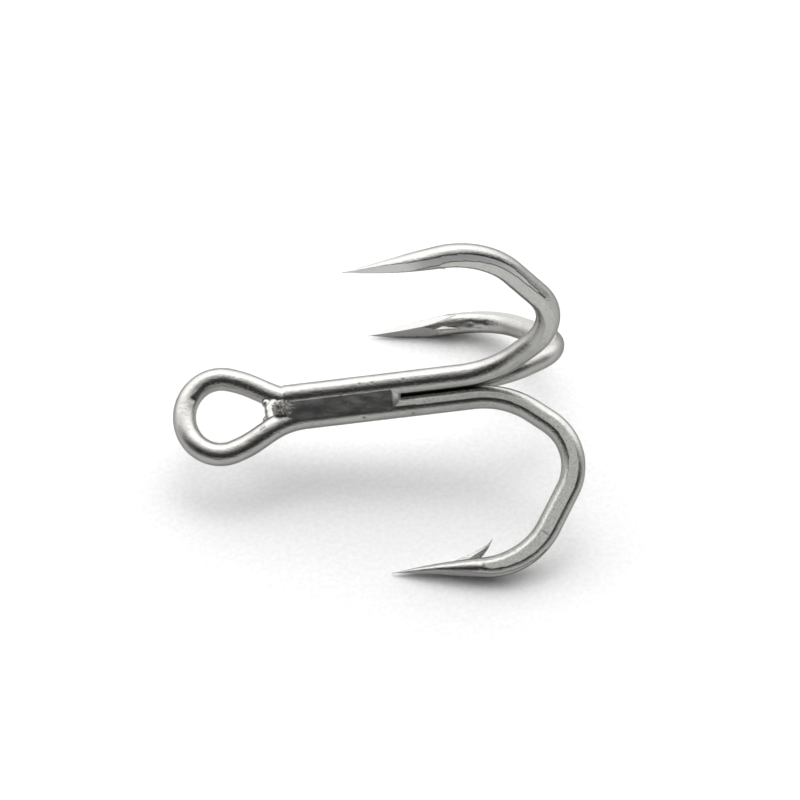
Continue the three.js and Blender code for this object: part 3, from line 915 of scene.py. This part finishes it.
# ---------------------------------------------------------------- stage
def build_stage():
    """A white floor with a faint speckle."""
    size = FLOOR_HALF_SIZE
    corners = [(-size, -size, 0), (size, -size, 0), (size, size, 0), (-size, size, 0)]
    mesh = bpy.data.meshes.new("floor")
    mesh.from_pydata(corners, [], [(0, 1, 2, 3)])
    floor = linked("floor", mesh)
    material = bpy.data.materials.new("floor")
    material.use_nodes = True
    tree = material.node_tree
    shader = tree.nodes["Principled BSDF"]
    speckle = to_range(tree, grain(tree, FLOOR_GRAIN, 3.0), 0, 1)
    colour = mix_colour(tree, speckle, FLOOR_DULL, FLOOR_BRIGHT)
    tree.links.new(colour, shader.inputs["Base Color"])
    shader.inputs["Roughness"].default_value = FLOOR_ROUGHNESS
    mesh.materials.append(material)


def level_by_height(tree, height, stops):
    """A light level against the sine of the elevation."""
    ramp = add(tree, "ShaderNodeValToRGB")
    elements = ramp.color_ramp.elements
    while len(elements) < len(stops):
        elements.new(1.0)
    for element, (at, level) in zip(elements, stops):
        element.position = at
        element.color = (level, level, level, 1.0)
    tree.links.new(height, ramp.inputs["Fac"])
    return ramp.outputs["Color"]


def build_lights():
    """A studio: a tall bright wall behind the hook, a soft ceiling, a dim room
    on the camera's side, and one weak softbox high at the back for shadows."""
    world = bpy.data.worlds.new("studio")
    bpy.context.scene.world = world
    world.use_nodes = True
    tree = world.node_tree
    direction = add(tree, "ShaderNodeTexCoord").outputs["Generated"]
    parts = add(tree, "ShaderNodeSeparateXYZ")
    tree.links.new(direction, parts.inputs["Vector"])
    # How far a direction points backwards doesn't depend on its elevation.
    level = add(tree, "ShaderNodeVectorMath", operation="MULTIPLY")
    level.inputs[1].default_value = (1, 1, 0)
    tree.links.new(direction, level.inputs[0])
    flat = add(tree, "ShaderNodeVectorMath", operation="NORMALIZE")
    tree.links.new(level.outputs[0], flat.inputs[0])
    facing = add(tree, "ShaderNodeSeparateXYZ")
    tree.links.new(flat.outputs[0], facing.inputs["Vector"])
    behind = to_range(tree, facing.outputs["Y"], 0, 1, *ROOM_TO_WALL)
    wall = level_by_height(tree, parts.outputs["Z"], WALL_LEVELS)
    room = level_by_height(tree, parts.outputs["Z"], ROOM_LEVELS)
    background = tree.nodes["Background"]
    tree.links.new(mix_colour(tree, behind, room, wall), background.inputs["Color"])
    background.inputs["Strength"].default_value = STUDIO_STRENGTH
    data = bpy.data.lights.new("softbox", "AREA")
    data.shape = "RECTANGLE"
    data.size, data.size_y = SOFTBOX_SIZE
    data.energy = SOFTBOX_POWER
    light = linked("softbox", data)
    aim = Vector(SOFTBOX_PLACE).to_track_quat("Z", "Y").to_matrix().to_4x4()
    light.matrix_world = Matrix.Translation(Vector(SOFTBOX_PLACE)) @ aim
    bpy.context.scene.view_settings.view_transform = "Standard"


# ---------------------------------------------------------------- build
place_camera()
build_stage()
build_lights()
place = hook_frame()
wire = plated_wire()
flowed = plated_braze("flowed_braze", FLOWED_DULL, FLOWED_BRIGHT, FLOWED_ROUGHNESS, FLOWED_BUMP_HEIGHT)
gritty = plated_braze("gritty_braze", GRITTY_DULL, GRITTY_BRIGHT, GRITTY_ROUGHNESS, GRITTY_BUMP_HEIGHT)
finish_piece(double_hook(), "double_hook_wire", wire, place)
finish_piece(single_hook(), "single_hook_wire", wire, place)
for side, hook_a, hook_b, end in SEAMS:
    filled = seam(side + "_seam", hook_a, hook_b, end)
    finish_piece(filled, side + "_braze_seam", flowed, place)
flow = unite(throat(), *(blob(centre, size) for centre, size in THROAT_BLOBS))
flow = flow_together(flow, FLOW_VOXEL, FLOW_ROUNDS)
finish_piece(flow, "throat_braze", flowed, place, crease=THROAT_CREASE)
crust = throat_lump("throat_crust", CRUST_PLACE, CRUST_SIZE)
finish_piece(crust, "throat_braze", gritty, place)
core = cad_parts["braze_core"]
core.data.materials.clear()
core.data.materials.append(flowed)
